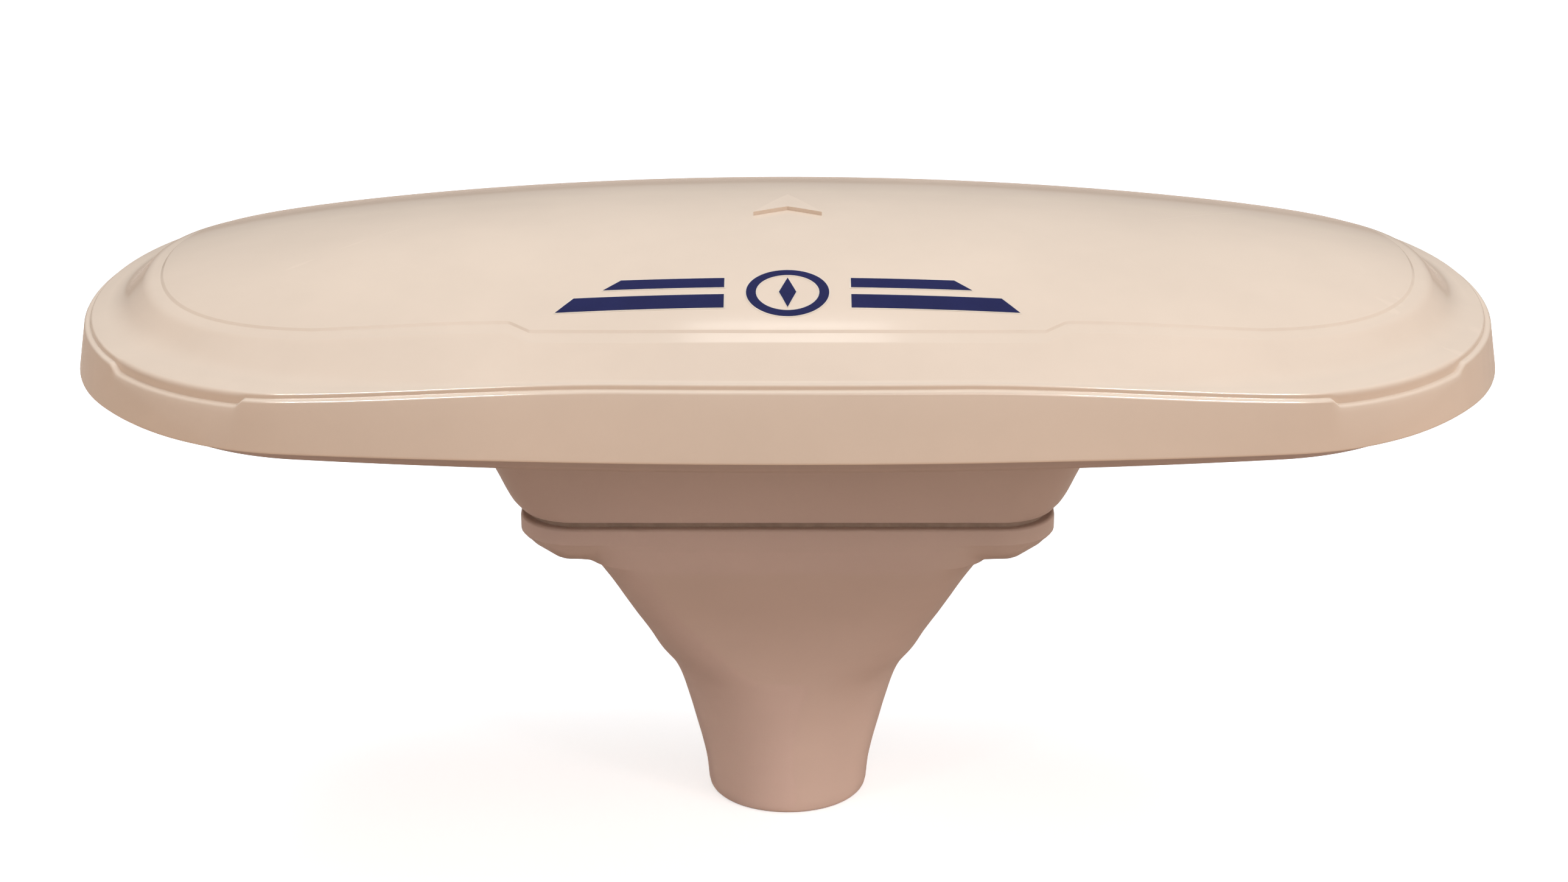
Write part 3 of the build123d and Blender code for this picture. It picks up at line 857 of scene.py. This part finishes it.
def build_mount():
    turn = [math.radians(1.5 * k) for k in range(240)]
    bearings = [(math.cos(a), math.sin(a)) for a in turn]

    def polar(height, reach):
        return [Vector((reach(c, s) * c, reach(c, s) * s, SKIRT_Z + height)) for c, s in bearings]

    def box(half_x, half_y, corner, height):
        return polar(height, lambda c, s: box_reach(half_x, half_y, corner, c, s))

    def disc(radius, height):
        return polar(height, lambda c, s: radius)

    def funnel(height):
        half_x = smooth_curve(FUNNEL_X, height)
        half_y = smooth_curve(FUNNEL_Y, height)
        corner = min(smooth_curve(FUNNEL_CORNER, height), half_x, half_y)
        fin = smooth_curve(GUSSET_X, height)

        def reach(c, s):
            body = box_reach(half_x, half_y, corner, c, s)
            if height < GUSSET_X[0][0]:
                return body
            rib = box_reach(fin, GUSSET_HALF, 3.0, c, s)
            blend = GUSSET_BLEND * smoothstep(GUSSET_X[0][0], -58.0, height) + 0.01
            return smooth_max(body, rib, blend)

        return polar(height, reach)

    def tray(height):
        """The tray's rounded underside, with the funnel's faces coming out of it."""
        neck = funnel(height)
        corner = mix(TRAY_TOP[2], 5.5, smoothstep(-TRAY_FOOT, 29.0, -height))
        bevel = smooth_curve(TRAY_BEVEL, height)
        ear = box(smooth_curve(TRAY_X, height), smooth_curve(TRAY_Y, height), corner, height)
        ring = []
        for a, b, (c, s) in zip(neck, ear, bearings):
            flat = bevel / (abs(c) * BEVEL_X + abs(s) * BEVEL_Y)
            side = -smooth_max(-flat, -b.xy.length, 1.5)
            blend = 1.2 * smoothstep(-TRAY_FOOT, 26.0, -height) + 0.01
            reach = smooth_max(a.xy.length, side, blend)
            ring.append(Vector((reach * c, reach * s, SKIRT_Z + height)))
        return ring

    rings = []
    # outside, from the tray's top edge down to the socket's rim
    top_x, top_y, top_corner = TRAY_TOP
    for k in range(5):
        t = math.radians(90 * k / 4)
        inset, drop = TRAY_LIP * (1 - math.sin(t)), TRAY_LIP * (1 - math.cos(t))
        rings.append(box(top_x - inset, top_y - inset, top_corner, TOP_HEIGHT - drop))
    height = TRAY_FOOT
    while height > EAR_HEIGHT + 0.05:
        rings.append(tray(height))
        height -= TRAY_STEP
    rings += [tray(EAR_HEIGHT), funnel(EAR_HEIGHT), funnel(EAR_HEIGHT - 0.15)]
    height = EAR_HEIGHT - 0.6
    while height > FOOT_HEIGHT + 1.2:
        rings.append(funnel(height))
        height -= FUNNEL_STEP
    for k in range(6):
        t = math.radians(90 * k / 5)
        inset, rise = SOCKET_EDGE * (1 - math.cos(t)), SOCKET_EDGE * (1 - math.sin(t))
        rings.append(disc(SOCKET_RADIUS - inset, FOOT_HEIGHT + rise))
    # thread, as a helical ridge inside the socket
    rings.append(disc(THREAD_RADIUS + 0.5, FOOT_HEIGHT))
    steps = int(THREAD_TOP / THREAD_PITCH * 10)
    for k in range(steps + 1):
        z = THREAD_START + (THREAD_TOP - THREAD_START) * k / steps
        ring = []
        for a, (c, s) in zip(turn, bearings):
            phase = (z / THREAD_PITCH - a / (2 * math.pi)) % 1.0
            ridge = min(max(1.25 - 4 * abs(phase - 0.5), 0.0), 1.0)
            run_in = smoothstep(THREAD_START, 2.4, z)
            run_out = 1 - smoothstep(THREAD_TOP - 1.8, THREAD_TOP - 0.4, z)
            radius = THREAD_RADIUS - (THREAD_RADIUS - THREAD_CREST) * ridge * run_in * run_out
            ring.append(Vector((radius * c, radius * s, z)))
        rings.append(ring)
    # shoulder, throat and the tray's open top
    shoulder = THREAD_TOP - SKIRT_Z
    rings += [disc(CABLE_RADIUS, shoulder), disc(CABLE_RADIUS, THROAT[0][0])]
    for lower, upper in zip(THROAT, THROAT[1:]):
        for k in range(8):
            h, x, y, corner = (mix(a, b, k / 8) for a, b in zip(lower, upper))
            rings.append(box(x, y, corner, h))
    mouth_height, *mouth = THROAT[-1]
    rings += [box(*mouth, mouth_height), box(*mouth, TOP_HEIGHT), rings[0]]
    points, faces = skin(rings)
    shell = mesh_piece(
        "mount_shell", points, faces, MATERIALS["mount_shell"], smooth_angle=32
    )
    cut(shell, pin_cutter(MOUNT_SCREWS, MOUNT_SCREW_RECESS))
    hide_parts("pole_mount")


build_mount()


# ---------------------------------------------------------------- stage, lights and camera
def stage_object(name, data):
    thing = bpy.data.objects.new(name, data)
    bpy.context.scene.collection.objects.link(thing)
    return thing


FLOOR_TINT = (0.55, 0.42, 0.34)      # what the floor reflects onto the object
FLOOR_PALE = (0.84, 0.88, 0.92)      # what the camera sees
FLOOR_GLOW = 0.62


def build_floor():
    size = 6.0
    mesh = bpy.data.meshes.new("floor")
    corners = [(-size, -size, 0), (size, -size, 0), (size, size, 0), (-size, size, 0)]
    mesh.from_pydata([Vector(c) for c in corners], [], [(0, 1, 2, 3)])
    material, tree, shader = node_tree("pale_floor")
    path = tree.nodes.new("ShaderNodeLightPath")
    color = blend_color(tree, path.outputs["Is Camera Ray"], FLOOR_TINT, FLOOR_PALE)
    tree.links.new(color, shader.inputs["Base Color"])
    shader.inputs["Emission Color"].default_value = (1.0, 1.0, 1.0, 1.0)
    glow = tree.nodes.new("ShaderNodeMath")
    glow.operation = "MULTIPLY"
    glow.inputs[1].default_value = FLOOR_GLOW
    tree.links.new(path.outputs["Is Camera Ray"], glow.inputs[0])
    tree.links.new(glow.outputs[0], shader.inputs["Emission Strength"])
    shader.inputs["Roughness"].default_value = 0.9
    shader.inputs["Specular IOR Level"].default_value = 0.1
    mesh.materials.append(material)
    stage_object("floor", mesh)


def soft_light(name, place, aim, size, power, color, mirrored=True):
    lamp = bpy.data.lights.new(name, "AREA")
    lamp.shape = "RECTANGLE"
    lamp.size, lamp.size_y = size
    lamp.energy = power
    lamp.color = color
    thing = stage_object(name, lamp)
    thing.visible_glossy = mirrored
    thing.location = place
    thing.rotation_euler = (Vector(aim) - Vector(place)).to_track_quat("-Z", "Y").to_euler()
    return thing


WARM = (1.0, 0.90, 0.82)
LOW_WARM = (1.0, 0.90, 0.84)
KEY_WARM = (1.0, 0.88, 0.82)
NEAR_WHITE = (1.0, 0.97, 0.94)
CEILING_WHITE = (1.0, 0.97, 0.93)
SKY_BLUE = (0.77, 0.91, 1.0)


def build_lights():
    aim = (0, 0, 0.1)
    soft_light("overhead", (0.1, 0.25, 1.3), aim, (1.6, 1.2), 16.2, SKY_BLUE, False)
    soft_light("back_window", (0.0, 0.62, 1.1), aim, (0.17, 0.08), 0.10, NEAR_WHITE)
    for x in (-0.38, 0.39):
        # only for the bright lines that the dome's front edges reflect
        place = (x, -0.35, 1.25)
        lamp = soft_light(f"ceiling_{x}", place, aim, (0.20, 0.16), 7.0, CEILING_WHITE)
        lamp.visible_diffuse = False
    soft_light("front_key", (0.42, -0.78, 1.15), (0, 0, 0.06), (0.8, 0.5), 4.1, KEY_WARM)
    for x, power in ((0.60, 0.026), (-0.58, 0.0155)):
        # narrow beams on the socket
        place = (x, -0.45, 0.06)
        low = soft_light(f"low_{x}", place, (0, 0, 0.004), (0.12, 0.08), power, LOW_WARM, False)
        low.data.spread = math.radians(12.0)
    for x in (-0.95, 0.95):
        soft_light(f"fill_{x}", (x, -0.45, 0.22), (0, 0, 0.08), (0.5, 0.4), 1.0, WARM, False)


def build_world():
    """Warm light from all round, with a near white backdrop for the camera."""
    world = bpy.data.worlds.new("studio")
    world.use_nodes = True
    tree = world.node_tree
    around = tree.nodes["Background"]
    around.inputs["Color"].default_value = (1.0, 0.85, 0.75, 1.0)
    around.inputs["Strength"].default_value = 0.36
    backdrop = tree.nodes.new("ShaderNodeBackground")
    backdrop.inputs["Color"].default_value = (0.95, 0.96, 0.97, 1.0)
    seen = tree.nodes.new("ShaderNodeLightPath")
    choice = tree.nodes.new("ShaderNodeMixShader")
    tree.links.new(seen.outputs["Is Camera Ray"], choice.inputs[0])
    tree.links.new(around.outputs[0], choice.inputs[1])
    tree.links.new(backdrop.outputs[0], choice.inputs[2])
    tree.links.new(choice.outputs[0], tree.nodes["World Output"].inputs["Surface"])
    return world


CAMERA_PLACE = (0.0, -0.598, 0.2914)
CAMERA_PITCH = 20.3       # degrees below level
CAMERA_LENS = 78.25       # millimetres, on a sensor 36 mm wide
CAMERA_SHIFT = -0.0023


def build_camera():
    lens = bpy.data.cameras.new("photo_camera")
    lens.lens = CAMERA_LENS
    lens.sensor_width = 36.0
    lens.shift_x = CAMERA_SHIFT
    camera = stage_object("photo_camera", lens)
    camera.location = CAMERA_PLACE
    camera.rotation_euler = (math.radians(90.0 - CAMERA_PITCH), 0.0, 0.0)
    return camera


build_floor()
build_lights()
scene = bpy.context.scene
scene.world = build_world()
scene.view_settings.view_transform = "Standard"
scene.camera = build_camera()
